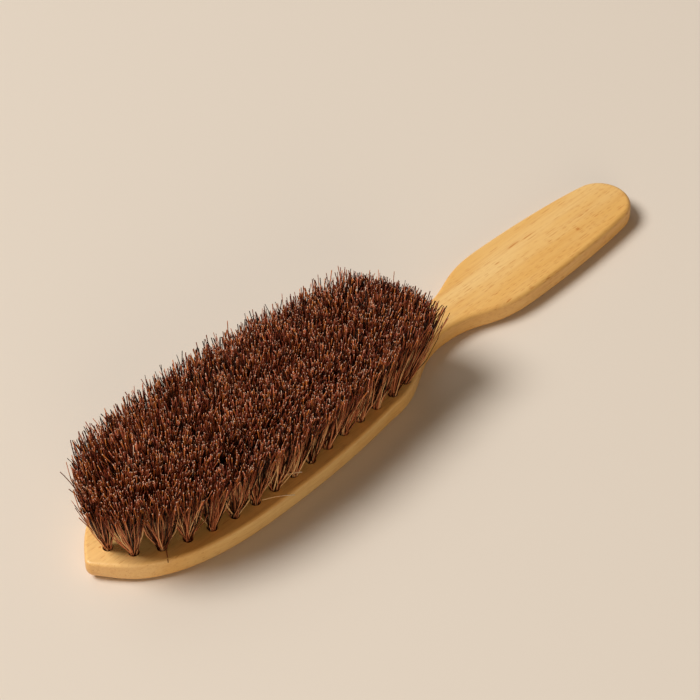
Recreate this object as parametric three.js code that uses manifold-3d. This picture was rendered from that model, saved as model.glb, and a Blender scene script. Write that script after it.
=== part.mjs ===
import * as THREE from 'three';
import { mergeGeometries, mergeVertices } from 'three/addons/utils/BufferGeometryUtils.js';
import Module from 'manifold-3d';

// A hand-held carpet brush lying on its back with its bristles up. Millimetres, +Z up.
// X runs from the nose of the head to the end of the handle, and y = 0 is the plane of symmetry.

// Stretches of the stock along X, from the nose tip to the end of the handle
const BOW_LENGTH = 68.6; // nose tip to the widest place of the head
const FLANK_LENGTH = 71; // widest place of the head to the shoulder
const SHOULDER_LENGTH = 46.4; // shoulder to the narrowest place of the neck
const RISE_LENGTH = 42.9; // neck to the widest place of the grip
const GRIP_LENGTH = 73; // widest place of the grip to the end of the handle

// Widths of the stock at those places, its thickness and its ends
const HEAD_WIDTH = 57.9;
const SHOULDER_WIDTH = 46.9;
const NECK_WIDTH = 16.4;
const GRIP_WIDTH = 33.6;
const STOCK_THICKNESS = 9.6;
const NOSE_RADIUS = 3;
const NOSE_ANGLE = 53; // degrees from the axis to the side of the nose
const SHOULDER_ANGLE = 3; // degrees by which the flank closes in at the shoulder
const GRIP_END_RADIUS = 13;
const GRIP_END_ANGLE = 10; // degrees by which the grip closes in where its round end starts

// Rounded edges of the stock, crisper round the bristles than on the grip
const BACK_EDGE_RADIUS = 3;
const FACE_EDGE_RADIUS = 1.4;
const GRIP_EDGE_RADIUS = 2.1;
const NOSE_BACK_RADIUS = 5.4; // back edge at the nose tip
const NOSE_BACK_LENGTH = 14; // nose tip to where the back edge is rounded as elsewhere
const SIDE_LAND = 0.8; // least upright side left between the two roundings
const BACK_EDGE_STEPS = 4;
const FACE_EDGE_STEPS = 3;

// How far each stretch of the outline keeps its end directions, as shares of the stretch
const BOW_EASE = [0.25, 0.66];
const FLANK_EASE = [0.64, 0.06];
const SHOULDER_EASE = [0.48, 0.48];
const RISE_EASE = [0.44, 0.56];
const GRIP_EASE = [0.49, 0.15];
const OUTLINE_STEPS = { nose: 3, bow: 10, flank: 6, shoulder: 9, rise: 8, grip: 6, end: 9 };

// Tuft holes and the wood left round them
const HOLE_DIAMETER = 4.2;
const NOSE_LAND = 8.5; // nose tip to the first hole
const FLANK_LAND = 4.6; // edge to the holes at the widest place
const SHOULDER_LAND = 2.8; // edge to the holes at the shoulder
const HEEL_CORNER = 9.6; // shoulder to the corner of the outer row
const HEEL_REACH = 19; // shoulder to the last tuft on the axis
const BACK_WALL = 1.8; // wood left under the staple legs
const HOLE_SIDES = 6;
const OUTER_STEPS = 17; // tufts from nose to heel along one side of the outer row
const INNER_STEPS = 10;
const INNER_NOSE_GAP = 11.8; // outer to inner row on the axis at the nose
const INNER_HEEL_GAP = 10.4; // outer to inner row on the axis at the heel
const INNER_WIDTH = 15.6; // between the two sides of the inner row
const ROW_START = 0.45; // roundness of a row's nose end, as a share of its half width
const ROW_EASE = [0.62, 0.5, 0.45];
const ROW_DRIFT = 0.02; // tufts stand further apart towards the nose, by this share of half a row at most

// Tufts
const TUFT_HEIGHT = 30.8;
const SIDE_LEAN = 7; // degrees by which the outer row leans out at its sides
const NOSE_LEAN = 12; // degrees by which it leans out at the nose
const HEEL_LEAN = 14; // degrees by which it leans out at the heel
const INNER_LEAN_SHARE = 0.4; // lean of the inner row, as a share of the outer row's
const STRANDS_PER_TUFT = 8;
const STRAND_SIDES = 3;
const STRAND_ROOT_RADIUS = 0.38;
const STRAND_TIP_RADIUS = 0.7;
const ROOT_SPREAD = 1.4; // radius of the bundle where it leaves the hole
const OUTER_TIP_SPREAD = 4;
const INNER_TIP_SPREAD = 5.4;
const TRIM_VARIATION = 1.6; // how much shorter than the tuft height a strand may be cut
const SLICE_LAND = 0.6; // strip of the face past the holes, on each side, that joins the tufts of a row
const SLICE_DEPTH = 1.6;

// Staples
const WIRE = 0.6;
const CROWN_RISE = 1.6; // top of the crown above the floor of the hole
const LEG_DRIVE = 1.8; // length of the legs in the wood
const LEG_LAND = 0.2; // floor of the hole left outside a leg

const CLEARANCE = 0.3;
const CUT_OVERRUN = 1; // how far a cutter runs past the face that it opens
const ON_AXIS = 0.001; // points nearer to the plane of symmetry than this lie on it

const BEECH = { color: 0xdcaa62, roughness: 0.45, metalness: 0 };
const FIBRE = { color: 0x563122, roughness: 0.8, metalness: 0 };
const STEEL = { color: 0xb9bcc0, roughness: 0.35, metalness: 1 };

const GOLDEN_ANGLE = Math.PI * (3 - Math.sqrt(5));
const UP = new THREE.Vector3(0, 0, 1);

const WIDEST_X = BOW_LENGTH;
const SHOULDER_X = WIDEST_X + FLANK_LENGTH;
const NECK_X = SHOULDER_X + SHOULDER_LENGTH;
const GRIP_X = NECK_X + RISE_LENGTH;
const END_X = GRIP_X + GRIP_LENGTH;
const HOLE_RADIUS = HOLE_DIAMETER / 2;
const HOLE_DEPTH = STOCK_THICKNESS - BACK_WALL - LEG_DRIVE - CLEARANCE;
const PLUG_RADIUS = HOLE_RADIUS - CLEARANCE;
const LEG_OFFSET = PLUG_RADIUS - LEG_LAND - WIRE / 2;

const wasm = await Module();
wasm.setup();

function piece(name, geometry, finish) {
  geometry.computeVertexNormals();
  const mesh = new THREE.Mesh(geometry, new THREE.MeshStandardMaterial(finish));
  mesh.name = name;
  return mesh;
}

// Closed solid of a geometry, with shared corners merged and collapsed triangles left out
function solidOf(geometry) {
  const bare = geometry.clone();
  bare.deleteAttribute('normal');
  bare.deleteAttribute('uv');
  const merged = mergeVertices(bare);
  const corners = merged.index.array;
  const triangles = [];
  for (let i = 0; i < corners.length; i += 3) {
    const [a, b, c] = corners.slice(i, i + 3);
    if (a !== b && b !== c && c !== a) {
      triangles.push(a, b, c);
    }
  }
  return new wasm.Manifold(new wasm.Mesh({
    numProp: 3,
    vertProperties: merged.attributes.position.array,
    triVerts: Uint32Array.from(triangles),
  }));
}

function geometryOf(solid) {
  const mesh = solid.getMesh();
  const geometry = new THREE.BufferGeometry();
  geometry.setAttribute('position', new THREE.BufferAttribute(mesh.vertProperties, 3));
  geometry.setIndex(new THREE.BufferAttribute(mesh.triVerts, 1));
  return geometry;
}

function heading(degrees) {
  const angle = THREE.MathUtils.degToRad(degrees);
  return new THREE.Vector2(Math.cos(angle), Math.sin(angle));
}

// Smooth stretch between two points that leaves and arrives along the given headings
function stretch(from, fromHeading, to, toHeading, [leave, arrive]) {
  const span = to.x - from.x;
  const first = from.clone().addScaledVector(fromHeading, leave * span);
  const second = to.clone().addScaledVector(toHeading, -arrive * span);
  return new THREE.CubicBezierCurve(from, first, second, to);
}

// Half of the stock's outline, y >= 0, from the nose tip to the end of the handle
function halfOutline() {
  const level = heading(0);
  const noseSide = heading(90 + NOSE_ANGLE).multiplyScalar(NOSE_RADIUS);
  noseSide.x += NOSE_RADIUS;
  const widest = new THREE.Vector2(WIDEST_X, HEAD_WIDTH / 2);
  const shoulder = new THREE.Vector2(SHOULDER_X, SHOULDER_WIDTH / 2);
  const neck = new THREE.Vector2(NECK_X, NECK_WIDTH / 2);
  const grip = new THREE.Vector2(GRIP_X, GRIP_WIDTH / 2);
  const endCentre = END_X - GRIP_END_RADIUS;
  const endSide = heading(90 - GRIP_END_ANGLE).multiplyScalar(GRIP_END_RADIUS);
  endSide.x += endCentre;
  const noseTurn = THREE.MathUtils.degToRad(90 + NOSE_ANGLE);
  const endTurn = THREE.MathUtils.degToRad(90 - GRIP_END_ANGLE);
  const closing = heading(-SHOULDER_ANGLE);
  const stretches = {
    nose: new THREE.EllipseCurve(NOSE_RADIUS, 0, NOSE_RADIUS, NOSE_RADIUS, Math.PI, noseTurn, true),
    bow: stretch(noseSide, heading(NOSE_ANGLE), widest, level, BOW_EASE),
    flank: stretch(widest, level, shoulder, closing, FLANK_EASE),
    shoulder: stretch(shoulder, closing, neck, level, SHOULDER_EASE),
    rise: stretch(neck, level, grip, level, RISE_EASE),
    grip: stretch(grip, level, endSide, heading(-GRIP_END_ANGLE), GRIP_EASE),
    end: new THREE.EllipseCurve(endCentre, 0, GRIP_END_RADIUS, GRIP_END_RADIUS, endTurn, 0, true),
  };
  const points = [new THREE.Vector2(0, 0)];
  for (const [name, curve] of Object.entries(stretches)) {
    points.push(...curve.getPoints(OUTLINE_STEPS[name]).slice(1));
  }
  points.at(-1).y = 0;
  return points;
}

// Inward directions of a half outline. Its two ends lie on the axis and point along it.
function inwardDirections(points) {
  return points.map((point, i) => {
    if (i === 0) return new THREE.Vector2(1, 0);
    if (i === points.length - 1) return new THREE.Vector2(-1, 0);
    const along = points[i + 1].clone().sub(points[i - 1]).normalize();
    return new THREE.Vector2(along.y, -along.x);
  });
}

// A half outline moved in. What would cross the axis at the nose is gathered where the two sides meet.
function insetHalf(points, inward, insets) {
  const moved = points.map((point, i) => point.clone().addScaledVector(inward[i], insets[i]));
  const first = moved.findIndex((point, i) => i > 0 && point.y > ON_AXIS);
  if (first > 1) {
    const { x: x0, y: y0 } = moved[first - 1];
    const { x: x1, y: y1 } = moved[first];
    const meet = x0 + ((x1 - x0) * y0) / (y0 - y1);
    moved.slice(0, first).forEach((point) => point.set(meet, 0));
  }
  return moved;
}

// Both halves of an outline as one loop, counter-clockwise from the nose
function wholeOutline(half) {
  const inner = half.slice(1, -1);
  const mirrored = inner.map((point) => point.clone().setY(-point.y));
  return [half[0], ...mirrored, half.at(-1), ...inner.toReversed()];
}

// Back edge radius at x: rounder at the nose tip
function backEdgeRadius(x) {
  const share = THREE.MathUtils.smoothstep(x, 0, NOSE_BACK_LENGTH);
  return THREE.MathUtils.lerp(NOSE_BACK_RADIUS, BACK_EDGE_RADIUS, share);
}

// Face edge radius at x: crisp along the head, softer from the neck on
function faceEdgeRadius(x) {
  const share = THREE.MathUtils.smoothstep(x, SHOULDER_X, NECK_X);
  return THREE.MathUtils.lerp(FACE_EDGE_RADIUS, GRIP_EDGE_RADIUS, share);
}

// The stock before drilling: outlines stacked from the flat back, round both edges, to the flat face
function stockBlank() {
  const half = halfOutline();
  const inward = inwardDirections(half);
  const room = STOCK_THICKNESS - SIDE_LAND;
  const backRound = Math.max(BACK_EDGE_RADIUS, NOSE_BACK_RADIUS);
  const faceRound = Math.max(FACE_EDGE_RADIUS, GRIP_EDGE_RADIUS);
  const fit = Math.min(1, room / (backRound + faceRound));
  const rings = [];
  const addRing = (radii, insetShare, height) => {
    const moved = insetHalf(half, inward, radii.map((radius) => radius * insetShare));
    rings.push(wholeOutline(moved.map(({ x, y }, i) => new THREE.Vector3(x, y, height(radii[i])))));
  };
  const backRadii = half.map((point) => backEdgeRadius(point.x) * fit);
  for (let i = 0; i <= BACK_EDGE_STEPS; i += 1) {
    const turn = (i / BACK_EDGE_STEPS) * (Math.PI / 2);
    addRing(backRadii, 1 - Math.sin(turn), (radius) => radius * (1 - Math.cos(turn)));
  }
  const faceRadii = half.map((point) => faceEdgeRadius(point.x) * fit);
  for (let i = 0; i <= FACE_EDGE_STEPS; i += 1) {
    const turn = (i / FACE_EDGE_STEPS) * (Math.PI / 2);
    addRing(faceRadii, 1 - Math.cos(turn), (radius) => STOCK_THICKNESS - radius * (1 - Math.sin(turn)));
  }
  return solidOf(stackedRings(rings));
}

// Closed skin over rings of as many points each, with a flat lid at both ends
function stackedRings(rings) {
  const count = rings[0].length;
  const index = [];
  for (let level = 0; level + 1 < rings.length; level += 1) {
    for (let i = 0; i < count; i += 1) {
      const next = (i + 1) % count;
      const [a, b] = [level * count + i, level * count + next];
      index.push(a, b, b + count, a, b + count, a + count);
    }
  }
  const flat = (ring) => ring.map(({ x, y }) => new THREE.Vector2(x, y));
  for (const [a, b, c] of THREE.ShapeUtils.triangulateShape(flat(rings[0]), [])) {
    index.push(c, b, a);
  }
  const top = (rings.length - 1) * count;
  for (const [a, b, c] of THREE.ShapeUtils.triangulateShape(flat(rings.at(-1)), [])) {
    index.push(top + a, top + b, top + c);
  }
  const geometry = new THREE.BufferGeometry().setFromPoints(rings.flat());
  geometry.setIndex(index);
  return geometry;
}

// Half of a row of tufts, y >= 0, from its nose end to its heel end, square to the axis at both
function rowPath(noseX, heelX, sideY, cornerX, cornerY) {
  const [bow, flank, heel] = ROW_EASE;
  const path = new THREE.Path();
  path.moveTo(noseX, 0);
  path.bezierCurveTo(noseX, sideY * ROW_START, WIDEST_X - bow * (WIDEST_X - noseX), sideY, WIDEST_X, sideY);
  const flankPull = flank * (cornerX - WIDEST_X);
  path.bezierCurveTo(WIDEST_X + flankPull, sideY, cornerX - flankPull, cornerY, cornerX, cornerY);
  const heelPull = heel * (heelX - cornerX);
  path.bezierCurveTo(cornerX + heelPull, cornerY, heelX, cornerY * (1 - heel), heelX, 0);
  return path;
}

function outerPath() {
  const noseX = NOSE_LAND + HOLE_RADIUS;
  const sideY = HEAD_WIDTH / 2 - FLANK_LAND - HOLE_RADIUS;
  const cornerY = SHOULDER_WIDTH / 2 - SHOULDER_LAND - HOLE_RADIUS;
  return rowPath(noseX, SHOULDER_X + HEEL_REACH, sideY, SHOULDER_X + HEEL_CORNER, cornerY);
}

function innerPath() {
  const noseX = NOSE_LAND + HOLE_RADIUS + INNER_NOSE_GAP;
  const heelX = SHOULDER_X + HEEL_REACH - INNER_HEEL_GAP;
  const sideY = INNER_WIDTH / 2;
  return rowPath(noseX, heelX, sideY, heelX - sideY, sideY);
}

// How far along half a row its i-th tuft stands
function rowShare(i, steps) {
  return i / steps + ROW_DRIFT * Math.sin((Math.PI * i) / steps);
}

// Where each tuft of a row stands: its mouth in the face, its axis, and which side of the brush it is on
function tuftPlaces(path, steps, leanShare) {
  const places = [];
  const slope = (degrees) => Math.tan(THREE.MathUtils.degToRad(degrees)) * leanShare;
  for (let i = 0; i <= steps; i += 1) {
    const onAxis = i === 0 || i === steps;
    const share = rowShare(i, steps);
    const point = path.getPointAt(share);
    const along = path.getTangentAt(share);
    for (const side of onAxis ? [1] : [-1, 1]) {
      const leanX = -along.y * slope(along.y > 0 ? NOSE_LEAN : HEEL_LEAN);
      const leanY = onAxis ? 0 : along.x * slope(SIDE_LEAN) * side;
      const axis = new THREE.Vector3(leanX, leanY, 1).normalize();
      const across = axis.clone().cross(new THREE.Vector3(along.x, along.y * side, 0)).normalize();
      const matrix = new THREE.Matrix4().makeBasis(across.clone().cross(axis), across, axis);
      matrix.setPosition(point.x, onAxis ? 0 : point.y * side, STOCK_THICKNESS);
      places.push({ matrix, side, upright: axis.z });
    }
  }
  return places;
}

// Many-sided bar that stands on z = 0, with a corner on the X axis so that it mirrors in y
function taperedBar(rootRadius, tipRadius, length, sides) {
  const corners = Array.from({ length: sides }, (_, i) => heading((360 * i) / sides));
  const ring = (radius, z) => corners.map(({ x, y }) => new THREE.Vector3(x * radius, y * radius, z));
  return stackedRings([ring(rootRadius, 0), ring(tipRadius, length)]);
}

// Bar and box along a tuft's axis, between two depths under the face
function barBetween(radius, top, bottom) {
  return taperedBar(radius, radius, bottom - top, HOLE_SIDES).translate(0, 0, -bottom);
}

function boxBetween(width, depth, top, bottom, x = 0) {
  return new THREE.BoxGeometry(width, depth, bottom - top).translate(x, 0, -(top + bottom) / 2);
}

// One shape set at every tuft of a row, as a single solid
function atEach(places, shape) {
  return solidOf(mergeGeometries(places.map((place) => shape(place).applyMatrix4(place.matrix))));
}

// Strip of the face along a row, widened by a gap on each side and sunk to a depth
function faceStrip(path, steps, gap, depth, overrun) {
  const halfWidth = HOLE_RADIUS + SLICE_LAND + gap;
  const offset = (distance) => {
    const half = [];
    for (let i = 0; i <= steps; i += 1) {
      const share = rowShare(i, steps);
      const along = path.getTangentAt(share);
      const outward = new THREE.Vector2(-along.y, along.x);
      half.push(path.getPointAt(share).addScaledVector(outward, distance));
    }
    half[0].y = 0;
    half.at(-1).y = 0;
    return wholeOutline(half);
  };
  const shape = new THREE.Shape(offset(halfWidth));
  shape.holes.push(new THREE.Path(offset(-halfWidth)));
  const geometry = new THREE.ExtrudeGeometry(shape, { depth: depth + overrun, bevelEnabled: false });
  return solidOf(geometry.translate(0, 0, STOCK_THICKNESS - depth));
}

// Strands of one tuft, spread like seeds in a sunflower and opening out to their tips
function tuftStrands({ side, upright }, tipSpread) {
  const strands = [];
  for (let i = 0; i < STRANDS_PER_TUFT; i += 1) {
    const turn = i * GOLDEN_ANGLE;
    const reach = Math.sqrt((i + 0.5) / STRANDS_PER_TUFT);
    const spot = new THREE.Vector3(Math.cos(turn), Math.sin(turn) * side, 0).multiplyScalar(reach);
    const cut = TRIM_VARIATION * ((i * GOLDEN_ANGLE) % 1);
    const root = spot.clone().multiplyScalar(ROOT_SPREAD).setZ(-SLICE_DEPTH / 2);
    const tip = spot.clone().multiplyScalar(tipSpread).setZ((TUFT_HEIGHT - cut) / upright);
    const span = tip.sub(root);
    const strand = taperedBar(STRAND_ROOT_RADIUS, STRAND_TIP_RADIUS, span.length(), STRAND_SIDES);
    strand.applyQuaternion(new THREE.Quaternion().setFromUnitVectors(UP, span.normalize()));
    strands.push(strand.translate(root.x, root.y, root.z));
  }
  return mergeGeometries(strands);
}

// Tufts of one row: their strip of face, a plug in each hole, slotted over its staple, and the strands
function tuftRow(path, steps, places, tipSpread) {
  const slotTop = HOLE_DEPTH - CROWN_RISE - CLEARANCE;
  const plugs = atEach(places, () => barBetween(PLUG_RADIUS, SLICE_DEPTH / 2, HOLE_DEPTH - CLEARANCE));
  const slots = atEach(places, () => boxBetween(HOLE_DIAMETER, WIRE + 2 * CLEARANCE, slotTop, HOLE_DEPTH));
  const strands = atEach(places, (place) => tuftStrands(place, tipSpread));
  const strip = faceStrip(path, steps, 0, SLICE_DEPTH, 0);
  return geometryOf(strip.add(plugs.subtract(slots)).add(strands));
}

// Stock drilled for every tuft, with a pocket for each staple leg and a groove for each strip
function drilledStock(rows) {
  const flatRadius = HOLE_RADIUS / Math.cos(Math.PI / HOLE_SIDES);
  const pocket = WIRE + 2 * CLEARANCE;
  const pocketFloor = HOLE_DEPTH + LEG_DRIVE + CLEARANCE;
  let stock = stockBlank();
  for (const { path, steps, places } of rows) {
    stock = stock.subtract(faceStrip(path, steps, CLEARANCE, SLICE_DEPTH + CLEARANCE, CUT_OVERRUN));
    stock = stock.subtract(atEach(places, () => barBetween(flatRadius, -CUT_OVERRUN, HOLE_DEPTH)));
    for (const x of [-LEG_OFFSET, LEG_OFFSET]) {
      const leg = () => boxBetween(pocket, pocket, HOLE_DEPTH - CLEARANCE, pocketFloor, x);
      stock = stock.subtract(atEach(places, leg));
    }
  }
  return geometryOf(stock);
}

// Wire staple that straddles the fold of a tuft: a crown across the hole and two legs into the wood
function stapleGeometry() {
  const outer = LEG_OFFSET + WIRE / 2;
  const inner = LEG_OFFSET - WIRE / 2;
  const crown = CROWN_RISE - HOLE_DEPTH;
  const point = -HOLE_DEPTH - LEG_DRIVE;
  const shape = new THREE.Shape();
  shape.moveTo(-outer, crown);
  shape.lineTo(-outer, point);
  shape.lineTo(-inner, point + WIRE);
  shape.lineTo(-inner, crown - WIRE);
  shape.lineTo(inner, crown - WIRE);
  shape.lineTo(inner, point + WIRE);
  shape.lineTo(outer, point);
  shape.lineTo(outer, crown);
  const geometry = new THREE.ExtrudeGeometry(shape, { depth: WIRE, bevelEnabled: false });
  return geometry.translate(0, 0, -WIRE / 2).rotateX(Math.PI / 2);
}

function row(name, path, steps, leanShare, tipSpread) {
  return { name, path, steps, tipSpread, places: tuftPlaces(path, steps, leanShare) };
}

const rows = [
  row('outer', outerPath(), OUTER_STEPS, 1, OUTER_TIP_SPREAD),
  row('inner', innerPath(), INNER_STEPS, INNER_LEAN_SHARE, INNER_TIP_SPREAD),
];

const brush = new THREE.Group();
brush.add(piece('stock', drilledStock(rows), BEECH));
for (const { name, path, steps, places, tipSpread } of rows) {
  brush.add(piece(`${name}_tufts`, tuftRow(path, steps, places, tipSpread), FIBRE));
  places.forEach(({ matrix }, i) => {
    const label = `${name}_staple_${String(i + 1).padStart(2, '0')}`;
    const staple = piece(label, stapleGeometry(), STEEL);
    staple.applyMatrix4(matrix);
    brush.add(staple);
  });
}

// Origin under the middle of the brush's box, on the flat back
const extent = new THREE.Box3().setFromObject(brush, true);
brush.position.set(-(extent.min.x + extent.max.x) / 2, 0, 0);

export default brush;
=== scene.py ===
import math
import random
from typing import NamedTuple

import bmesh
import bpy
from bpy.props import FloatProperty, FloatVectorProperty, IntProperty, PointerProperty
from mathutils import Matrix, Vector
from mathutils.geometry import interpolate_bezier


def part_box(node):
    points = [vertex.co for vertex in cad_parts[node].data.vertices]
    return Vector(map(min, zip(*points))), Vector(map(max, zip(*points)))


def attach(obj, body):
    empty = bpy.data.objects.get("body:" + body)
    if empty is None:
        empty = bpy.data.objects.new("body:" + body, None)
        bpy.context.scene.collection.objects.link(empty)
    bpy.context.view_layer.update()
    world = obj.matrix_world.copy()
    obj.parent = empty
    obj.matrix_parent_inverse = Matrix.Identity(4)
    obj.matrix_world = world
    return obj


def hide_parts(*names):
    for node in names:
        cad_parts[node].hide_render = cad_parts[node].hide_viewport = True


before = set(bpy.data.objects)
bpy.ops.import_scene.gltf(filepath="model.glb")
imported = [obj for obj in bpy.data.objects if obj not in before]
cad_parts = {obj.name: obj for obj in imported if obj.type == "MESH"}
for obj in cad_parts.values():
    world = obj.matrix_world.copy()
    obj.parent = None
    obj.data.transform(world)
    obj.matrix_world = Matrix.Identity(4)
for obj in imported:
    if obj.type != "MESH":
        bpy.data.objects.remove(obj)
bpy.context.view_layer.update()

bl_info = {
    "name": "Carpet Brush",
    "version": (1, 0, 0),
    "blender": (4, 5, 0),
    "location": "3D View > Sidebar > Carpet Brush",
    "description": "Models a beech carpet brush with plant-fibre tufts round a packed frame",
    "category": "Object",
}

BODY = "root"
ROWS = ("outer", "inner")
UP = Vector((0, 0, 1))
GOLDEN_ANGLE = math.pi * (3 - math.sqrt(5))
STOCK_LOW, STOCK_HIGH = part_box("stock")
FACE_Z = STOCK_HIGH.z
TRIM_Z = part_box("outer_tufts")[1].z

# How the stock is shaped
STRETCHES = {  # shares of its span for which a stretch keeps its end headings, and its steps
    "bow": (0.25, 0.66, 28),
    "flank": (0.64, 0.06, 20),
    "shoulder": (0.48, 0.48, 22),
    "rise": (0.44, 0.56, 18),
    "grip": (0.49, 0.15, 18),
}
NOSE_STEPS = 6
END_STEPS = 18
EDGE_STEPS = 8
HOLE_SEGMENTS = 20
MERGE_DISTANCE = 1e-6
SHARP_EDGE = math.radians(35)

# How the wood and the wire look
# Where the face of the head is tinted redder: partly its own colour, partly painted red bounce light
# from the fibres
FACE_TINT_HEEL = (0.012, -0.02)  # x over which the tint of the face sets in
FACE_TINT_NOSE = (-0.17, -0.09)  # x over which it grows from the nose
FACE_TINT_RISE = (FACE_Z - 0.0012, FACE_Z - 0.0002)  # z over which it grows up to the face
GRAIN_DEPTH = 0.00006
WOOD_MARKS = (  # middle x and y, half length and half width of single marks on the grip and the nose
    (0.0905, 0.0072, 0.005, 0.0005),
    (0.1, 0.0066, 0.006, 0.0004),
    (0.0778, 0.0042, 0.002, 0.0004),
    (0.1037, -0.002, 0.002, 0.0004),
    (0.0649, -0.0144, 0.002, 0.0003),
    (0.0865, -0.0163, 0.0018, 0.0003),
    (0.0639, -0.0081, 0.002, 0.0003),
    (0.1295, -0.005, 0.0025, 0.0003),
    (0.1176, -0.0053, 0.0012, 0.0009),
    (-0.1424, 0.0021, 0.0008, 0.0006),
)
BRIGHT_STEEL = (0.52, 0.53, 0.55)
DULL_STEEL = (0.34, 0.34, 0.35)

# How the fibres lie
FIBRE_SIDES = 3
FIBRE_STEPS = (0, 0.02, 0.4, 0.75, 1)  # shares of a fibre that have a ring, the first in its hole
FIBRE_TAPER = 0.18  # share of its radius that a fibre loses up to its tip
FIBRE_RANGE = (0.7, 1.25)  # thinnest and thickest fibre, as shares of the mean
ROOT_DEPTH = 0.004  # how far a fibre goes down its hole
ROOT_MIXING = 0.6  # how freely fibres change places between the hole and the fan
ROOT_GATHER = 0.3  # share of a tuft's spread that is lost down the hole
TRIM_SCATTER = 0.8  # scatter of the cut, as a share of the trim
SHORT_SHARE = 0.05  # share of the fibres that end early
SHORT_MOST = 0.005  # the most that one ends early
TIP_SCATTER = 0.0017
BEND_SCATTER = 0.0011
FAN_BEND = 0.04  # bend of a fibre as a share of its fan
STRAY_BEND = 0.06  # bend of a stray fibre as a share of its length
HEEL_ZONE = (-0.045, 0.005)  # x over which the tufts change from the sides' lean to the heel's
HEEL_SIDE = 0.2  # outward y of a tuft, under which its tips turn to the heel
NOSE_ZONE = (-0.14, -0.095)  # x over which the flare beside the nose dies out
FENCE_PULL = 0.7  # share of a tip's way past a fence that is taken back
TIP_FENCES = (  # direction on the face, and how far the tips reach in it
    (1, 0, 0.0165),
    (0.917, 0.399, 0.0135),
    (-0.83, 0.558, 0.1235),
)
STRAYS = (  # root, tip and tone of single fibres that stand out from the near side and the nose
    ((-0.1167, -0.0195, 0.0115), (-0.102, -0.0217, 0.02), 1.0),
    ((-0.0844, -0.0246, 0.0115), (-0.0754, -0.0333, 0.014), 1.0),
    ((-0.0718, -0.023, 0.014), (-0.0678, -0.0294, 0.018), 1.0),
    ((-0.139, 0.0175, 0.026), (-0.1416, 0.0232, 0.034), 0.3),
    ((-0.1261, -0.0167, 0.0098), (-0.1293, -0.0211, 0.0089), 0.4),
)

# How the fibres are toned: 0 dark, 0.5 red-brown, 0.9 orange, 1 pale
MEAN_TONE = 0.42
TONE_SCATTER = 0.42
LIGHTEST_TONE = 0.94
PALE_TONE = 0.97
PALE_SHARE = 0.004  # share of the fibres that are pale all along

# Where the lights stand: diameter, turn from the camera and height in degrees, and distance
LIGHTS = {
    "key": (3.0, -84, 53.5, 6),
    "back": (2.8, -140, 50, 4),
    "fill": (1.7, 8, 18, 3),
}
WHITE = (1, 1, 1)


# Properties that a user would change

def size(label, meaning, metres):
    """A length in metres."""
    return FloatProperty(
        name=label, description=meaning, default=metres, min=0, unit="LENGTH", precision=5
    )


def angle(label, meaning, degrees):
    """An angle, written in degrees."""
    return FloatProperty(
        name=label, description=meaning, default=math.radians(degrees), subtype="ANGLE"
    )


def share(label, meaning, value):
    """A plain number from 0 to 1."""
    return FloatProperty(
        name=label, description=meaning, default=value, min=0, max=1, subtype="FACTOR"
    )


def amount(label, meaning, number):
    """A whole number of like things."""
    return IntProperty(name=label, description=meaning, default=number, min=1)


def power(label, meaning, watts):
    """The power of a light in watts."""
    return FloatProperty(name=label, description=meaning, default=watts, min=0, unit="POWER")


def tint(label, meaning, colour):
    """A colour in linear light."""
    return FloatVectorProperty(
        name=label, description=meaning, default=colour, size=3, min=0, max=1, subtype="COLOR"
    )


class StockSettings(bpy.types.PropertyGroup):
    """Sizes and colours of the beech stock."""

    bow_length: size("Bow length", "Nose tip to the widest place of the head", 0.0686)
    flank_length: size("Flank length", "Widest place of the head to the shoulder", 0.071)
    shoulder_length: size("Shoulder length", "Shoulder to the narrowest place of the neck", 0.0464)
    rise_length: size("Rise length", "Neck to the widest place of the grip", 0.0429)
    grip_length: size("Grip length", "Widest place of the grip to the end of the handle", 0.073)
    head_width: size("Head width", "Width of the head at its widest", 0.0579)
    shoulder_width: size("Shoulder width", "Width of the head at the shoulder", 0.0469)
    neck_width: size("Neck width", "Width of the neck at its narrowest", 0.0164)
    grip_width: size("Grip width", "Width of the grip at its widest", 0.0336)
    nose_radius: size("Nose radius", "Radius of the nose seen from above", 0.003)
    nose_angle: angle("Nose angle", "Axis to the side of the nose", 53)
    shoulder_angle: angle("Shoulder angle", "How far the flank closes in at the shoulder", 3)
    end_radius: size("End radius", "Radius of the round end of the handle", 0.013)
    end_angle: angle("End angle", "How far the grip closes in at its round end", 10)
    back_edge: size("Back edge", "Radius of the edges round the flat back", 0.003)
    face_edge: size("Face edge", "Radius of the edges round the bristle face", 0.0014)
    grip_edge: size("Grip edge", "Radius of the face edges on the grip", 0.0021)
    nose_back: size("Nose back edge", "Rounding of the back at the nose tip", 0.0054)
    nose_back_length: size("Nose back length", "Nose tip to the usual back edge", 0.014)
    hole_diameter: size("Hole diameter", "Diameter of the tuft holes", 0.0042)
    hole_depth: size("Hole depth", "Depth of the tuft holes", 0.0057)
    pale_wood: tint("Pale wood", "Lightest streaks of the beech", (0.9, 0.59, 0.235))
    honey_wood: tint("Honey wood", "Darkest broad streaks of the beech", (0.81, 0.445, 0.118))
    # Redder face of the head: partly the wood's own colour, partly painted red bounce light from the
    # fibres among the tufts
    face_wood_and_bounce: tint("Face wood", "Face of the head, among and round the tufts", (0.85, 0.395, 0.083))
    grain: tint("Grain", "Short pores and flecks", (0.56, 0.2, 0.034))


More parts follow.
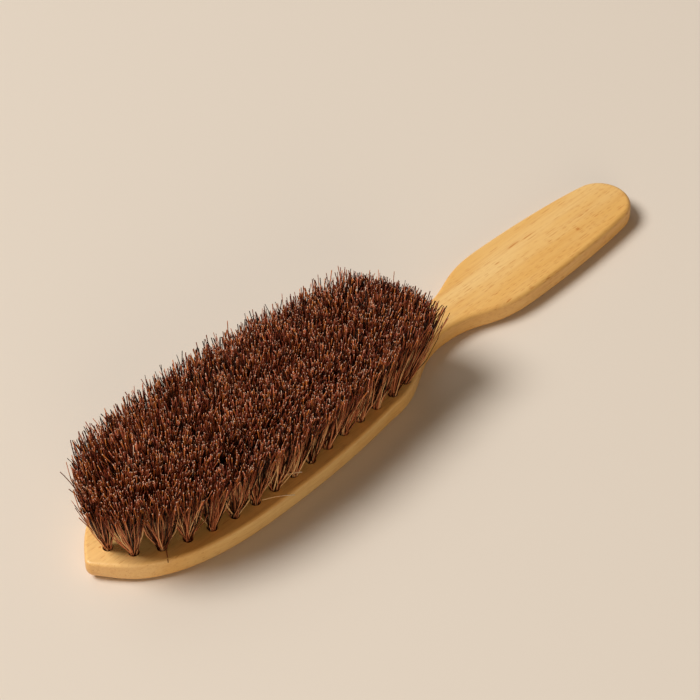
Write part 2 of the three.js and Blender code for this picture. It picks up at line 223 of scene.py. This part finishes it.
class TuftSettings(bpy.types.PropertyGroup):
    """Sizes and colours of the fibre tufts."""

    outer_count: amount("Outer fibres", "Fibres in a tuft of the outer row", 170)
    inner_count: amount("Inner fibres", "Fibres in a tuft of the inner row", 350)
    fibre_diameter: size("Fibre diameter", "Mean diameter of a fibre", 0.00046)
    root_spread: size("Root spread", "Radius of a tuft where it leaves its hole", 0.0018)
    outer_along: size("Outer fan along", "Reach of an outer tuft's tips along its row", 0.0085)
    outer_across: size("Outer fan across", "Reach of an outer tuft's tips across its row", 0.0062)
    inner_along: size("Inner fan along", "Reach of an inner tuft's tips along its row", 0.0104)
    inner_across: size("Inner fan across", "Reach of an inner tuft's tips across its row", 0.011)
    heel_flare: size("Heel flare", "How far the tips of the near side turn to the heel", 0.0075)
    nose_flare: size("Nose flare", "Extra reach of the far tips beside the nose", 0.0055)
    side_lean: angle("Side lean", "Outward lean of the outer row along its sides", 7)
    nose_lean: angle("Nose lean", "Outward lean of the outer row at the nose", 12)
    heel_lean: angle("Heel lean", "Outward lean of the outer row at the heel", 14)
    inner_lean: share("Inner lean", "Lean of the inner row as a share of the outer row's", 0.4)
    trim: size("Trim", "How unevenly the tips are cut", 0.0009)
    dark_fibre: tint("Dark fibre", "Darkest fibres", (0.006, 0.0008, 0.0004))
    red_fibre: tint("Red fibre", "Fibres of the usual tone", (0.185, 0.028, 0.013))
    rust_fibre: tint("Rust fibre", "Warmer fibres of the usual tone", (0.185, 0.031, 0.004))
    orange_fibre: tint("Orange fibre", "Lighter fibres", (0.6, 0.16, 0.076))
    amber_fibre: tint("Amber fibre", "Warmer lighter fibres", (0.58, 0.165, 0.028))
    # Lower body of the outer fibres, lighter than their tips: partly the fibres' own colour, partly
    # painted light on the fans that face the front
    clay_fibre: tint("Clay fibre", "Bared body of the usual outer fibres", (0.76, 0.265, 0.12))
    tan_fibre: tint("Tan fibre", "Bared body of the palest outer fibres", (0.97, 0.62, 0.3))
    pale_fibre: tint("Pale fibre", "Palest fibres and cut tips", (0.82, 0.69, 0.53))
    # How far the lower body colour is laid on: own colour and painted light in the outer row, painted
    # shade in the inner row, which darkens its fibres towards the roots
    outer_body_and_painted_light: share("Outer bare", "Strength of the bared body's colour in the outer row", 0.92)
    inner_painted_shade: share("Inner bare", "Strength of the dark body's colour in the inner row", 0.9)


class StageSettings(bpy.types.PropertyGroup):
    """Camera, lights and floor."""

    aim: FloatVectorProperty(
        name="Aim",
        description="Point on the floor that the camera looks at",
        default=(0.0053, 0.0179, 0),
        subtype="XYZ_LENGTH",
        unit="LENGTH",
    )
    distance: size("Distance", "Camera to the point that it looks at", 1.1058)
    azimuth: angle("Azimuth", "Turn of the camera round the brush", -45.07)
    elevation: angle("Elevation", "Height of the camera over the floor", 44)
    focal_length: FloatProperty(
        name="Focal length", description="Lens of the camera", default=140.15, unit="CAMERA"
    )
    floor_size: size("Floor size", "Side of the square floor", 6)
    floor: tint("Floor", "Plain pale floor", (0.735, 0.645, 0.54))
    key_power: power("Key power", "Power of the large soft light", 362)
    back_power: power("Back power", "Power of the soft light behind", 14)
    fill_power: power("Fill power", "Power of the soft light in front", 20)
    fill_colour: tint("Fill colour", "Colour of the soft light in front", (1, 0.87, 0.67))
    sky: share("Sky", "Strength of the even light from all round", 0.12)
    sky_colour: tint("Sky colour", "Colour of the even light from all round", (1, 0.76, 0.55))


# Materials

class Value:
    """An output socket of a material. Its operators add Math nodes."""

    def __init__(self, finish, socket):
        self.finish = finish
        self.socket = socket

    def maths(self, operation, first, second):
        return self.finish.node("Math", {"operation": operation}, {0: first, 1: second})

    def __add__(self, other):
        return self.maths("ADD", self, other)

    def __sub__(self, other):
        return self.maths("SUBTRACT", self, other)

    def __mul__(self, other):
        return self.maths("MULTIPLY", self, other)

    def __gt__(self, other):
        return self.maths("GREATER_THAN", self, other)

    def __rsub__(self, other):
        return self.maths("SUBTRACT", other, self)

    __radd__ = __add__
    __rmul__ = __mul__


class Finish:
    """A material under construction, with one method that adds any node."""

    def __init__(self, name):
        self.material = bpy.data.materials.new(name)
        self.material.use_nodes = True
        self.tree = self.material.node_tree
        self.shader = self.tree.nodes["Principled BSDF"]

    def feed(self, socket, value):
        """Links a value to a socket, or sets the socket to a plain number or colour."""
        if isinstance(value, Value):
            self.tree.links.new(value.socket, socket)
        elif socket.type == "RGBA":
            socket.default_value = (*value, 1)
        else:
            socket.default_value = value

    def node(self, kind, settings=None, sockets=None, output=0):
        """Adds a node with its settings and inputs, and returns one of its outputs."""
        node = self.tree.nodes.new("ShaderNode" + kind)
        for name, setting in (settings or {}).items():
            setattr(node, name, setting)
        for name, value in (sockets or {}).items():
            self.feed(node.inputs[name], value)
        return Value(self, node.outputs[output])

    def surface(self, **sockets):
        """Feeds the shader's own sockets, named with _ for a space."""
        for name, value in sockets.items():
            self.feed(self.shader.inputs[name.replace("_", " ")], value)
        return self.material

    def mix(self, factor, first, second):
        return self.node("Mix", {"data_type": "RGBA"}, {0: factor, 6: first, 7: second}, output=2)

    def ramp(self, value, low, high):
        """Smooth step from 0 at low to 1 at high."""
        sockets = {"Value": value, "From Min": low, "From Max": high}
        return self.node("MapRange", {"interpolation_type": "SMOOTHSTEP"}, sockets)

    def axis(self, vector, name):
        """The X, Y or Z of a vector."""
        return self.node("SeparateXYZ", {}, {"Vector": vector}, output=name)

    def attribute(self, name):
        """A number that the mesh carries at each vertex."""
        return self.node("Attribute", {"attribute_name": name}, output="Fac")

    def stretched(self, per_metre, shift=(0, 0, 0)):
        """Object coordinates scaled to so many pattern units a metre along each axis."""
        place = self.node("TexCoord", output="Object")
        return self.node("Mapping", {}, {"Vector": place, "Location": shift, "Scale": per_metre})

    def noise(self, per_metre, detail=3, shift=(0, 0, 0)):
        sockets = {"Vector": self.stretched(per_metre, shift), "Scale": 1, "Detail": detail}
        return self.node("TexNoise", {}, sockets)

    def cells(self, per_metre, shift=(0, 0, 0)):
        """Distance to the nearest of scattered points, and that point's random number."""
        vector = self.stretched(per_metre, shift)
        distance = self.node("TexVoronoi", {}, {"Vector": vector, "Scale": 1})
        colour = Value(self, distance.socket.node.outputs["Color"])
        return distance, self.node("SeparateColor", {}, {"Color": colour})

    def bump(self, height, depth):
        return self.node("Bump", {}, {"Height": height, "Distance": depth})


def wood_marks(finish):
    """1 on the single marks of the wood, with rough edges, and 0 off them."""
    rough = finish.noise((300, 1500, 1500), 3, (1, 6, 3)) * 1.2 - 0.6
    total = 0
    for x, y, long, wide in WOOD_MARKS:
        spot = finish.stretched((1 / long, 1 / wide, 0), (-x / long, -y / wide, 0))
        reach = finish.node("VectorMath", {"operation": "LENGTH"}, {0: spot}, output="Value")
        total = total + finish.ramp(reach + rough, 1.1, 0.2)
    return total


def face_and_bounce_mask(finish):
    """1 on the face of the head, and less towards the neck, the nose and the edges: where the face is
    tinted redder, partly its own colour and partly painted red bounce light from the fibres.
    """
    place = finish.node("TexCoord", output="Object")
    x = finish.axis(place, "X")
    head = finish.ramp(x, *FACE_TINT_HEEL) * finish.ramp(x, *FACE_TINT_NOSE)
    return head * finish.ramp(finish.axis(place, "Z"), *FACE_TINT_RISE)


def cut_ends(finish):
    """1 where the surface cuts across the grain, and 0 along it."""
    across = finish.axis(finish.node("NewGeometry", output="Normal"), "X")
    return finish.ramp(across * across, 0.1, 0.7)


def beech_finish(settings):
    """Oiled beech: broad streaks, fine lines and short dark pores along X, under a satin oil, with a
    redder face on the head that is partly painted bounce light from the fibres.
    """
    finish = Finish("oiled_beech")
    streaks = finish.ramp(finish.noise((9, 70, 50), 4), 0.3, 0.7)
    lines = finish.ramp(finish.noise((45, 1100, 1100), 3, (3, 1, 7)), 0.45, 0.75)
    patches = finish.ramp(finish.noise((18, 45, 45), 2, (9, 4, 2)), 0.35, 0.65)
    pore_gap, pore_draw = finish.cells((270, 2400, 2400))
    all_pores = finish.ramp(pore_gap, 0.5, 0.2) * finish.ramp(pore_draw, 0.4, 0.9)
    pores = all_pores * (0.3 + 0.7 * patches)
    fleck_gap, fleck_draw = finish.cells((120, 1500, 1500), (5, 2, 9))
    flecks = finish.ramp(fleck_gap, 0.42, 0.2) * (fleck_draw > 0.9)
    marks = wood_marks(finish)
    colour = finish.mix(streaks, settings.pale_wood, settings.honey_wood)
    # Face of the head redder: partly its own colour, partly painted red bounce light from the fibres
    colour = finish.mix(face_and_bounce_mask(finish) * 0.6, colour, settings.face_wood_and_bounce)
    for grain in (lines * 0.24, pores * 0.62, flecks * 0.5, marks * 0.8, cut_ends(finish) * 0.3):
        colour = finish.mix(grain, colour, settings.grain)
    height = 1 - (pores * 0.6 + flecks * 0.5 + lines * 0.15 + marks * 0.4)
    return finish.surface(
        Base_Color=colour,
        Roughness=0.40 + 0.1 * streaks + 0.08 * pores,
        Normal=finish.bump(height, GRAIN_DEPTH),
        Coat_Weight=0.12,
        Coat_Roughness=0.28,
    )


def fibre_finish(name, settings, usual_body, light_body, body_share):
    """Stiff plant fibre: each fibre its own tone, another body under its tip, and a pale cut end. The
    body is partly own colour and partly painted light in the outer row, and painted shade in the inner
    row; the pale cut end is partly a painted highlight.
    """
    finish = Finish(name)
    tone = finish.attribute("tone")
    along = finish.attribute("along")
    mottle = finish.ramp(finish.noise((900, 900, 160), 2), 0.3, 0.75)
    warmth = finish.ramp(finish.noise((1100, 1100, 60), 1, (4, 8, 2)), 0.4, 0.6)
    usual = finish.mix(warmth, settings.red_fibre, settings.rust_fibre)
    light = finish.mix(warmth, settings.orange_fibre, settings.amber_fibre)
    body = finish.mix(finish.ramp(tone, 0.6, 0.95), usual_body, light_body)
    # Lower body towards the roots: in the outer row partly own colour and partly painted light, in the
    # inner row painted shade
    lower_light_and_shade = finish.ramp(along, 1.0, 0.4) * finish.ramp(tone, 0.15, 0.65)
    # Pale cut ends: partly the fibres' own paler ends, partly a painted highlight standing in for the
    # glints on the tips
    cut = finish.ramp(along, 0.985, 1.0) * finish.ramp(tone, 0.4, 0.9)
    colour = finish.mix(finish.ramp(tone, 0.0, 0.5), settings.dark_fibre, usual)
    colour = finish.mix(finish.ramp(tone, 0.5, 0.92), colour, light)
    colour = finish.mix(finish.ramp(tone, 0.95, 0.99), colour, settings.pale_fibre)
    colour = finish.mix(mottle * 0.3, colour, settings.dark_fibre)
    colour = finish.mix(lower_light_and_shade * body_share, colour, body)
    colour = finish.mix(cut * 0.55, colour, settings.pale_fibre)
    return finish.surface(
        Base_Color=colour,
        Roughness=0.38 + 0.2 * mottle,
        Specular_IOR_Level=0.18,
        Specular_Tint=(1, 0.6, 0.42),
    )


def wire_finish():
    """Drawn steel wire with faint dull patches."""
    finish = Finish("staple_wire")
    dull = finish.noise((1800, 1800, 500), 2)
    colour = finish.mix(dull, BRIGHT_STEEL, DULL_STEEL)
    return finish.surface(Base_Color=colour, Metallic=1, Roughness=0.25 + 0.25 * dull)


# Helpers for shapes

def heading(turn):
    """Unit vector on the face at a turn from +X."""
    return Vector((math.cos(turn), math.sin(turn)))


def smooth_step(value, low, high):
    """Smooth step from 0 at low to 1 at high."""
    t = min(1, max(0, (value - low) / (high - low)))
    return t * t * (3 - 2 * t)


def shown(name, data):
    """A new object in the scene."""
    thing = bpy.data.objects.new(name, data)
    bpy.context.scene.collection.objects.link(thing)
    return thing


def smooth_mesh(bm, name, flat=()):
    """The mesh of a bmesh, which it uses up, smooth apart from the faces that are named as flat."""
    for face in bm.faces:
        face.smooth = True
    for face in flat:
        face.smooth = False
    mesh = bpy.data.meshes.new(name)
    bm.to_mesh(mesh)
    bm.free()
    return mesh


# Stock

def arc(centre, radius, start, end, steps):
    """Points of an arc about a place on the axis."""
    turns = [start + (end - start) * i / steps for i in range(steps + 1)]
    return [Vector((centre, 0)) + heading(turn) * radius for turn in turns]


def stretch(name, start, leaving, end, arriving):
    """Smooth stretch of the outline between two points, without the first of them."""
    keep_leaving, keep_arriving, steps = STRETCHES[name]
    span = end.x - start.x
    first = start + leaving * (keep_leaving * span)
    second = end - arriving * (keep_arriving * span)
    return interpolate_bezier(start, first, second, end, steps + 1)[1:]


def half_outline(settings):
    """Half of the stock's outline, y >= 0, from the nose tip to the end of the handle."""
    quarter = math.pi / 2
    widest_x = settings.bow_length
    shoulder_x = widest_x + settings.flank_length
    neck_x = shoulder_x + settings.shoulder_length
    grip_x = neck_x + settings.rise_length
    end_x = grip_x + settings.grip_length - settings.end_radius
    nose_turn = quarter + settings.nose_angle
    nose = arc(settings.nose_radius, settings.nose_radius, math.pi, nose_turn, NOSE_STEPS)
    end = arc(end_x, settings.end_radius, quarter - settings.end_angle, 0, END_STEPS)
    widest = Vector((widest_x, settings.head_width / 2))
    shoulder = Vector((shoulder_x, settings.shoulder_width / 2))
    neck = Vector((neck_x, settings.neck_width / 2))
    grip = Vector((grip_x, settings.grip_width / 2))
    level = heading(0)
    closing = heading(-settings.shoulder_angle)
    points = [
        *nose,
        *stretch("bow", nose[-1], heading(settings.nose_angle), widest, level),
        *stretch("flank", widest, level, shoulder, closing),
        *stretch("shoulder", shoulder, closing, neck, level),
        *stretch("rise", neck, level, grip, level),
        *stretch("grip", grip, level, end[0], heading(-settings.end_angle)),
        *end[1:],
    ]
    return [Vector((point.x + STOCK_LOW.x, point.y)) for point in points]


def inward_directions(points):
    """Unit vectors into the stock. The two ends of the half outline point along the axis."""
    directions = [Vector((1, 0))]
    for before, after in zip(points, points[2:]):
        along = (after - before).normalized()
        directions.append(Vector((along.y, -along.x)))
    return [*directions, Vector((-1, 0))]


def edge_profile(settings):
    """Steps round the edges, from the back to the face: each gives inset and height at an x."""
    shoulder_x = STOCK_LOW.x + settings.bow_length + settings.flank_length
    neck_x = shoulder_x + settings.shoulder_length

    def back(turn):
        def place(x):
            usual = smooth_step(x - STOCK_LOW.x, 0, settings.nose_back_length)
            radius = settings.nose_back + (settings.back_edge - settings.nose_back) * usual
            return radius * (1 - math.sin(turn)), radius * (1 - math.cos(turn))
        return place

    def face(turn):
        def place(x):
            softness = smooth_step(x, shoulder_x, neck_x)
            radius = settings.face_edge + (settings.grip_edge - settings.face_edge) * softness
            return radius * (1 - math.cos(turn)), FACE_Z - radius * (1 - math.sin(turn))
        return place

    turns = [math.pi / 2 * i / EDGE_STEPS for i in range(EDGE_STEPS + 1)]
    return [*map(back, turns), *map(face, turns)]


def extrude_chain(bm, chain):
    """Extrudes a chain of vertices, and returns the new chain in the same order."""
    edges = [bm.edges.get(pair) for pair in zip(chain, chain[1:])]
    fresh = set(bmesh.ops.extrude_edge_only(bm, edges=edges)["geom"])
    neighbours = [[edge.other_vert(vert) for edge in vert.link_edges] for vert in chain]
    return [next(vert for vert in around if vert in fresh) for around in neighbours]


def whole(bm):
    """All the geometry of a bmesh."""
    return [*bm.verts, *bm.edges, *bm.faces]


def stock_blank(settings):
    """The stock before drilling: half of its rounded side, cut at the axis, mirrored and given lids."""
    bm = bmesh.new()
    outline = half_outline(settings)
    inward = inward_directions(outline)
    chain = [bm.verts.new((point.x, point.y, 0)) for point in outline]
    for pair in zip(chain, chain[1:]):
        bm.edges.new(pair)
    for level, place in enumerate(edge_profile(settings)):
        if level:
            chain = extrude_chain(bm, chain)
        for vert, point, direction in zip(chain, outline, inward):
            inset, height = place(point.x)
            vert.co = (*(point + direction * inset), height)
    bmesh.ops.bisect_plane(
        bm,
        geom=whole(bm),
        dist=MERGE_DISTANCE,
        plane_co=(0, 0, 0),
        plane_no=(0, -1, 0),
        clear_outer=True,
    )
    bmesh.ops.mirror(bm, geom=whole(bm), axis="Y", merge_dist=MERGE_DISTANCE)
    bmesh.ops.remove_doubles(bm, verts=bm.verts, dist=MERGE_DISTANCE)
    bmesh.ops.dissolve_degenerate(bm, edges=bm.edges, dist=MERGE_DISTANCE)
    bmesh.ops.delete(bm, geom=[edge for edge in bm.edges if not edge.link_faces], context="EDGES")
    bmesh.ops.holes_fill(bm, edges=[edge for edge in bm.edges if edge.is_boundary])
    bmesh.ops.recalc_face_normals(bm, faces=bm.faces)
    return smooth_mesh(bm, "stock_blank")


def hole_cutter(settings, tufts):
    """A round bar along each tuft's axis, from above the face to the floor of its hole."""
    bm = bmesh.new()
    radius = settings.hole_diameter / 2
    for tuft in tufts:
        turn = UP.rotation_difference(tuft.axis).to_matrix().to_4x4()
        bmesh.ops.create_cone(
            bm,
            cap_ends=True,
            segments=HOLE_SEGMENTS,
            radius1=radius,
            radius2=radius,
            depth=settings.hole_depth * 2,
            matrix=Matrix.Translation(tuft.mouth) @ turn,
        )
    return smooth_mesh(bm, "hole_cutter")


def drilled_stock(settings, tufts):
    """The mesh of the stock with its tuft holes."""
    stock = shown("stock_blank", stock_blank(settings))
    cutter = shown("hole_cutter", hole_cutter(settings, tufts))
    holes = stock.modifiers.new("holes", "BOOLEAN")
    holes.object = cutter
    holes.solver = "EXACT"
    drilled = stock.evaluated_get(bpy.context.evaluated_depsgraph_get())
    mesh = bpy.data.meshes.new_from_object(drilled)
    mesh.name = "beech_stock"
    mesh.set_sharp_from_angle(angle=SHARP_EDGE)
    for helper in (stock, cutter):
        bpy.data.objects.remove(helper)
    return mesh


# Tufts

class Tuft(NamedTuple):
    """Place of one tuft: the middle of its hole's mouth, its axis, and its directions on the face."""

    mouth: Vector
    axis: Vector
    along: Vector
    outward: Vector


class Fibre(NamedTuple):
    """One fibre: its line of points, radius, tone, and the turn of its section."""

    line: list
    radius: float
    tone: float
    turn: float


def staple_ring(row):
    """Middles of a row's staples, in order round it. Their numbers change sides from the nose on."""
    names = sorted(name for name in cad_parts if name.startswith(f"{row}_staple_"))
    ring = [names[0], *names[2:-1:2], names[-1], *reversed(names[1:-1:2])]
    corners = [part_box(name) for name in ring]
    return [(low + high) / 2 for low, high in corners]


def tufts_of(row, settings):
    """Each tuft of a row stands over the staple that holds it, and leans out of the row."""
    places = staple_ring(row)
    lean = 1 if row == "outer" else settings.inner_lean
    tufts = []
    for i, place in enumerate(places):
        along = places[(i + 1) % len(places)] - places[i - 1]
        along = Vector((along.x, along.y, 0)).normalized()
        outward = Vector((-along.y, along.x, 0))
        end_lean = settings.nose_lean if outward.x < 0 else settings.heel_lean
        axis = Vector((
            outward.x * math.tan(end_lean) * lean,
            outward.y * math.tan(settings.side_lean) * lean,
            1,
        ))
        tufts.append(Tuft(place + axis * (FACE_Z - place.z), axis, along, outward))
    return tufts


def random_spot(draw):
    """Random point of the unit disc."""
    return heading(draw.uniform(0, 2 * math.pi)) * math.sqrt(draw.random())


def scattered(draw, reach):
    """Random level vector, mostly not much longer than a reach."""
    return Vector((draw.gauss(0, reach), draw.gauss(0, reach), 0))


def bowed(start, end, bow, t):
    """Point at a share of a line that is moved by a whole bow in its middle."""
    return start.lerp(end, t) + bow * (4 * t * (1 - t))


def fenced(tip):
    """A tip moved most of the way back to the lines that no tips pass."""
    for x, y, reach in TIP_FENCES:
        over = max(0, tip.x * x + tip.y * y - reach)
        tip = tip - Vector((x, y, 0)) * (over * FENCE_PULL)
    return tip


def fibre_tip(draw, tuft, fan, settings):
    """Trimmed tip of a fibre that leans with its tuft and stands off by its fan."""
    height = TRIM_Z - FACE_Z - settings.trim * (1 + draw.gauss(0, TRIM_SCATTER))
    if draw.random() < SHORT_SHARE:
        height -= draw.uniform(0, SHORT_MOST)
    heel = smooth_step(tuft.mouth.x, *HEEL_ZONE)
    nose = 1 - smooth_step(tuft.mouth.x, *NOSE_ZONE)
    lean = Vector((tuft.axis.x, tuft.axis.y * (1 - heel), 1)) * height
    heel_turn = settings.heel_flare * heel * heel * max(0, HEEL_SIDE - tuft.outward.y)
    nose_turn = settings.nose_flare * nose * max(0, tuft.outward.y)
    tip = fenced(tuft.mouth + lean + fan + Vector((heel_turn, nose_turn, 0)))
    return tip + scattered(draw, TIP_SCATTER)


def fibre_line(draw, tuft, spot, reach, settings):
    """Points of one fibre: from inside the hole, through its mouth, to the trimmed tip."""
    mixed = spot.lerp(random_spot(draw), ROOT_MIXING)
    spread = (tuft.along * mixed.x + tuft.outward * mixed.y) * settings.root_spread
    fan = tuft.along * (spot.x * reach[0]) + tuft.outward * (spot.y * reach[1])
    tip = fibre_tip(draw, tuft, fan, settings)
    bend = fan * FAN_BEND + scattered(draw, BEND_SCATTER)
    mouth = tuft.mouth + spread
    root = mouth - spread * ROOT_GATHER - tuft.axis * ROOT_DEPTH
    return [root, *(bowed(mouth, tip, bend, t) for t in FIBRE_STEPS[1:])]


def stray_fibre(root, tip, tone, settings):
    """A single fibre out of place, slightly bowed."""
    root, tip = Vector(root), Vector(tip)
    bow = UP * ((tip - root).length * STRAY_BEND)
    line = [bowed(root, tip, bow, t) for t in FIBRE_STEPS]
    return Fibre(line, settings.fibre_diameter / 2, tone, turn=0)


def fibre_tone(draw):
    """Random tone of a fibre."""
    if draw.random() < PALE_SHARE:
        return PALE_TONE
    return min(LIGHTEST_TONE, max(0.0, draw.gauss(MEAN_TONE, TONE_SCATTER)))


def row_fibres(row, settings):
    """All the fibres of a row, tuft by tuft, and then the strays of the outer row."""
    draw = random.Random(f"{row} fibres")
    counts_and_reaches = {
        "outer": (settings.outer_count, (settings.outer_along, settings.outer_across)),
        "inner": (settings.inner_count, (settings.inner_along, settings.inner_across)),
    }
    count, reach = counts_and_reaches[row]
    fibres = []
    for tuft in tufts_of(row, settings):
        turned = draw.uniform(0, 2 * math.pi)
        for i in range(count):
            spot = heading(turned + i * GOLDEN_ANGLE) * math.sqrt((i + 0.5) / count)
            line = fibre_line(draw, tuft, spot, reach, settings)
            radius = settings.fibre_diameter / 2 * draw.uniform(*FIBRE_RANGE)
            fibres.append(Fibre(line, radius, fibre_tone(draw), draw.uniform(0, math.pi)))
    if row == "outer":
        fibres.extend(stray_fibre(*stray, settings) for stray in STRAYS)
    return fibres


def ring_corners(line, step, radius, turn):
    """Corners of a fibre's section at a point of its line, square to the line there."""
    before, after = line[max(step - 1, 0)], line[min(step + 1, len(line) - 1)]
    tilt = UP.rotation_difference(after - before)
    turns = [turn + 2 * math.pi * side / FIBRE_SIDES for side in range(FIBRE_SIDES)]
    section = [heading(corner) * radius for corner in turns]
    return [line[step] + tilt @ Vector((*corner, 0)) for corner in section]


def fibres_mesh(name, fibres):
    """All the fibres of a row at once: a small root face each, extruded ring by ring to the tips."""
    bm = bmesh.new()
    number = bm.faces.layers.int.new("fibre")
    tone = bm.verts.layers.float.new("tone")
    along = bm.verts.layers.float.new("along")
    ends = []
    for i, fibre in enumerate(fibres):
        made = bmesh.ops.create_circle(bm, cap_ends=True, segments=FIBRE_SIDES, radius=fibre.radius)
        root = made["verts"][0].link_faces[0]
        root[number] = i
        ends.append(root)
    for step, t in enumerate(FIBRE_STEPS):
        if step:
            ends = bmesh.ops.extrude_discrete_faces(bm, faces=ends)["faces"]
        for end in ends:
            fibre = fibres[end[number]]
            radius = fibre.radius * (1 - FIBRE_TAPER * t)
            for vert, corner in zip(end.verts, ring_corners(fibre.line, step, radius, fibre.turn)):
                vert.co = corner
                vert[tone] = fibre.tone
                vert[along] = t
    open_roots = [edge for edge in bm.edges if edge.is_boundary]
    bmesh.ops.holes_fill(bm, edges=open_roots, sides=FIBRE_SIDES)
    return smooth_mesh(bm, name, flat=ends)


# Pieces and stage

def add_piece(name, mesh, material, node):
    """Shows a mesh as a piece that stands for a node of the frame."""
    mesh.materials.clear()
    mesh.materials.append(material)
    piece = shown(name, mesh)
    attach(piece, BODY)
    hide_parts(node)


def add_floor(settings):
    """A plain square floor under the brush."""
    bm = bmesh.new()
    bmesh.ops.create_grid(bm, x_segments=1, y_segments=1, size=settings.floor_size / 2)
    mesh = smooth_mesh(bm, "floor")
    mesh.materials.append(Finish("floor").surface(Base_Color=settings.floor, Roughness=0.9))
    shown("floor", mesh)


def around(aim, azimuth, elevation, distance):
    """Point seen from the aim at an azimuth, 0 towards -Y, and an elevation."""
    level = Vector((math.sin(azimuth), -math.cos(azimuth), 0)) * math.cos(elevation)
    return Vector(aim) + (level + UP * math.sin(elevation)) * distance


def set_facing(thing, place, aim):
    """Puts a camera or a light at a place, turned to its aim."""
    thing.location = place
    thing.rotation_euler = (Vector(aim) - place).to_track_quat("-Z", "Y").to_euler()


def add_light(name, watts, colour, settings):
    """A round soft light that stands where LIGHTS says."""
    diameter, turn, height, distance = LIGHTS[name]
    light = bpy.data.lights.new(name, "AREA")
    light.shape = "DISK"
    light.size = diameter
    light.energy = watts
    light.color = colour
    azimuth = settings.azimuth + math.radians(turn)
    place = around(settings.aim, azimuth, math.radians(height), distance)
    set_facing(shown(name, light), place, settings.aim)


def add_camera(settings):
    """The camera, at the angle of the photograph."""
    camera = bpy.data.cameras.new("camera")
    camera.lens = settings.focal_length
    holder = shown("camera", camera)
    place = around(settings.aim, settings.azimuth, settings.elevation, settings.distance)
    set_facing(holder, place, settings.aim)
    bpy.context.scene.camera = holder


def light_sky(settings):
    """Even light from all round."""
    world = bpy.data.worlds.new("studio")
    world.use_nodes = True
    background = world.node_tree.nodes["Background"]
    background.inputs["Color"].default_value = (*settings.sky_colour, 1)
    background.inputs["Strength"].default_value = settings.sky
    bpy.context.scene.world = world


# Operators

class CARPET_BRUSH_OT_stock(bpy.types.Operator):
    """Models the one-piece beech stock with its tuft holes"""

    bl_idname = "carpet_brush.stock"
    bl_label = "Beech Stock"

    def execute(self, context):
        settings = context.scene.carpet_brush_stock
        tufts = [tuft for row in ROWS for tuft in tufts_of(row, context.scene.carpet_brush_tufts)]
        mesh = drilled_stock(settings, tufts)
        add_piece("beech_stock", mesh, beech_finish(settings), "stock")
        return {"FINISHED"}


class CARPET_BRUSH_OT_tufts(bpy.types.Operator):
    """Sets both rows of fibre tufts into the stock"""

    bl_idname = "carpet_brush.tufts"
    bl_label = "Fibre Tufts"

    def execute(self, context):
        settings = context.scene.carpet_brush_tufts
        # Lower bodies: the outer row's clay and tan are partly own colour and partly painted light on
        # the fans, the inner row's dark is painted shade deep among the fibres
        bodies = {
            "outer": (settings.clay_fibre, settings.tan_fibre, settings.outer_body_and_painted_light),
            "inner": (settings.dark_fibre, settings.dark_fibre, settings.inner_painted_shade),
        }
        for row in ROWS:
            mesh = fibres_mesh(f"{row}_fibre_tufts", row_fibres(row, settings))
            material = fibre_finish(f"{row}_fibre", settings, *bodies[row])
            add_piece(f"{row}_fibre_tufts", mesh, material, f"{row}_tufts")
        return {"FINISHED"}


class CARPET_BRUSH_OT_staples(bpy.types.Operator):
    """Gives the staples in the holes their drawn steel"""

    bl_idname = "carpet_brush.staples"
    bl_label = "Wire Staples"

    def execute(self, context):
        material = wire_finish()
        for name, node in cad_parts.items():
            if "_staple_" in name:
                node.data.materials.clear()
                node.data.materials.append(material)
        return {"FINISHED"}


class CARPET_BRUSH_OT_stage(bpy.types.Operator):
    """Adds the plain floor, the soft lights and the camera"""

    bl_idname = "carpet_brush.stage"
    bl_label = "Stage"

    def execute(self, context):
        settings = context.scene.carpet_brush_stage
        add_floor(settings)
        add_camera(settings)
        light_sky(settings)
        add_light("key", settings.key_power, WHITE, settings)
        add_light("back", settings.back_power, WHITE, settings)
        add_light("fill", settings.fill_power, settings.fill_colour, settings)
        context.scene.view_settings.view_transform = "Standard"
        return {"FINISHED"}


class VIEW3D_PT_carpet_brush(bpy.types.Panel):
    """Lists the steps that make the brush"""

    bl_idname = "VIEW3D_PT_carpet_brush"
    bl_label = "Carpet Brush"
    bl_space_type = "VIEW_3D"
    bl_region_type = "UI"
    bl_category = "Carpet Brush"

    def draw(self, context):
        for operator in OPERATORS:
            self.layout.operator(operator.bl_idname)


OPERATORS = (
    CARPET_BRUSH_OT_stock,
    CARPET_BRUSH_OT_tufts,
    CARPET_BRUSH_OT_staples,
    CARPET_BRUSH_OT_stage,
)
SETTINGS = {
    "carpet_brush_stock": StockSettings,
    "carpet_brush_tufts": TuftSettings,
    "carpet_brush_stage": StageSettings,
}
CLASSES = (*SETTINGS.values(), *OPERATORS, VIEW3D_PT_carpet_brush)


def register():
    for kind in CLASSES:
        bpy.utils.register_class(kind)
    for name, group in SETTINGS.items():
        setattr(bpy.types.Scene, name, PointerProperty(type=group))


def unregister():
    for name in SETTINGS:
        delattr(bpy.types.Scene, name)
    for kind in reversed(CLASSES):
        bpy.utils.unregister_class(kind)


def main():
    register()
    bpy.ops.carpet_brush.stage()
    bpy.ops.carpet_brush.stock()
    bpy.ops.carpet_brush.tufts()
    bpy.ops.carpet_brush.staples()


if __name__ == "__main__":
    main()
